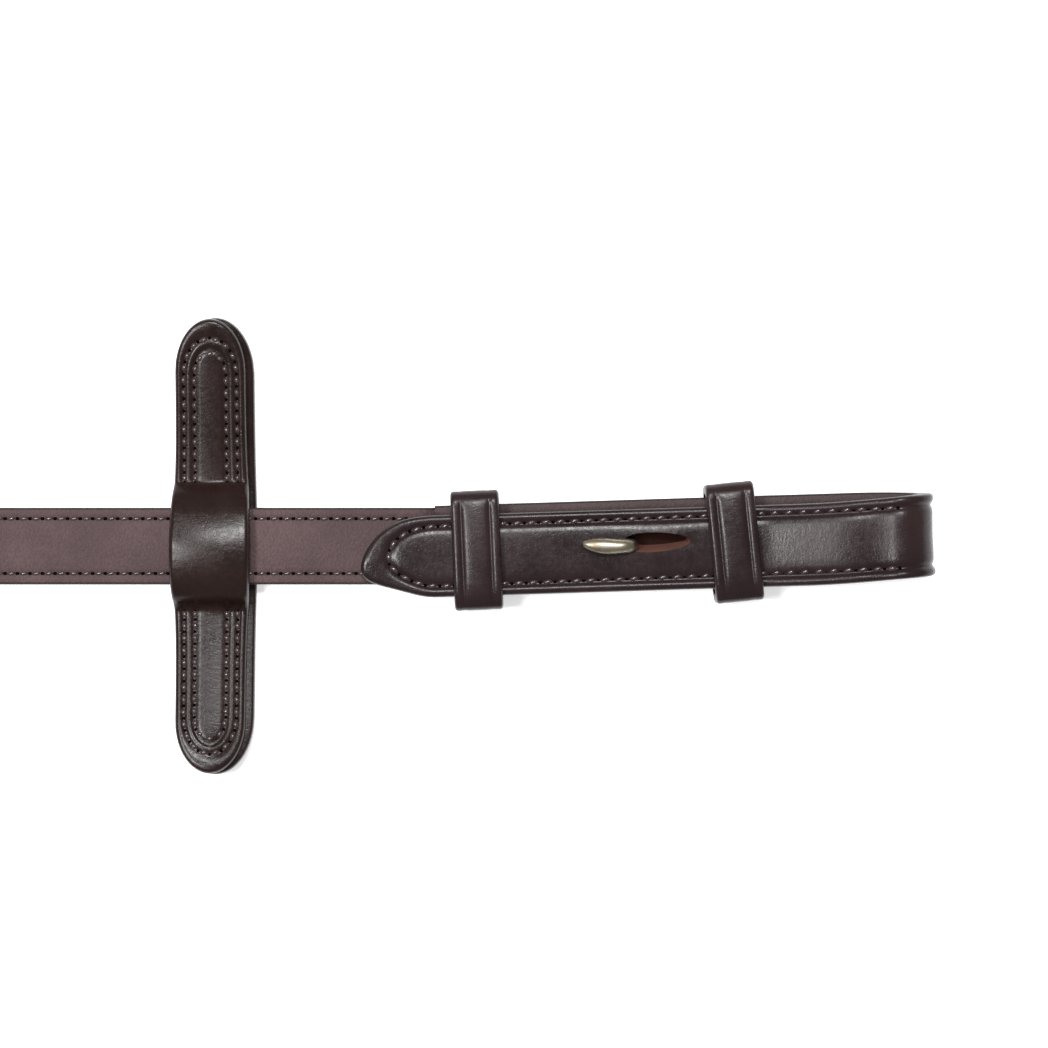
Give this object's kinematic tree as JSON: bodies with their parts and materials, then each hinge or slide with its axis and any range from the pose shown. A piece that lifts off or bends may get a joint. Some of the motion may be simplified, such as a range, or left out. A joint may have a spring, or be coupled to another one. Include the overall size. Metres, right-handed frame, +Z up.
{
  "type": "leather reins",
  "caption": "Pair of narrow lined leather riding reins with rein stops, hook-stud bit ends and a centre buckle, the middle stretch wound into a tied coil.",
  "frame": {"origin": "on the ground under the centre buckle, midway between the two bit ends", "axes": "+X along the reins to the right bit end, +Z up from the surface the reins lie on"},
  "size_m": [0.8054, 0.0952, 0.0226],
  "materials": {
    "outer_leather": "waxed, soft gloss",
    "lining_leather": "matte, pebbled grip",
    "tie_leather": "satin",
    "thread": "waxed thread",
    "hook_metal": "pale, polished",
    "buckle_metal": "pale, polished",
    "plate_steel": "brushed"
  },
  "bodies": {
    "reins": {"rein_strap_right": "outer_leather", "rein_lining_right": "lining_leather", "rein_stitching_right": "thread", "billet_right": "outer_leather", "billet_lining_right": "lining_leather", "billet_stitching_right": "thread", "hook_stud_right": "hook_metal", "hook_plate_right": "plate_steel", "fixed_keeper_right": "outer_leather", "coil_tie_right": "tie_leather", "rein_strap_left": "outer_leather", "rein_lining_left": "lining_leather", "rein_stitching_left": "thread", "billet_left": "outer_leather", "billet_lining_left": "lining_leather", "billet_stitching_left": "thread", "hook_stud_left": "hook_metal", "hook_plate_left": "plate_steel", "fixed_keeper_left": "outer_leather", "coil_tie_left": "tie_leather", "rein_coil": "outer_leather", "centre_strap": "outer_leather", "buckle_chape": "outer_leather", "chape_stitching": "thread", "buckle_frame": "buckle_metal", "buckle_keeper": "outer_leather", "point_end": "outer_leather"},
    "stop_right": {"stop_front_right": "outer_leather", "stop_back_right": "outer_leather", "stop_stitching_right": "thread"},
    "stop_left": {"stop_front_left": "outer_leather", "stop_back_left": "outer_leather", "stop_stitching_left": "thread"},
    "runner_right": {"runner_keeper_right": "outer_leather"},
    "runner_left": {"runner_keeper_left": "outer_leather"},
    "tongue": {"buckle_tongue": "buckle_metal"}
  },
  "joints": [
    {"name": "stop_right_slide", "type": "slide", "parent": "reins", "child": "stop_right", "axis": [1, 0, 0], "range_m": [-0.03, 0.018]},
    {"name": "runner_right_slide", "type": "slide", "parent": "reins", "child": "runner_right", "axis": [0.9995, 0.0314, 0], "range_m": [-0.01, 0.015]},
    {"name": "stop_left_slide", "type": "slide", "parent": "reins", "child": "stop_left", "axis": [-1, 0, 0], "range_m": [-0.03, 0.018]},
    {"name": "runner_left_slide", "type": "slide", "parent": "reins", "child": "runner_left", "axis": [-0.9995, -0.0314, 0], "range_m": [-0.01, 0.015]},
    {"name": "tongue_hinge", "type": "hinge", "parent": "reins", "child": "tongue", "pos_m": [0.006, 0, 0.0113], "axis": [0, 0, 1], "range_deg": [0, 4]}
  ]
}
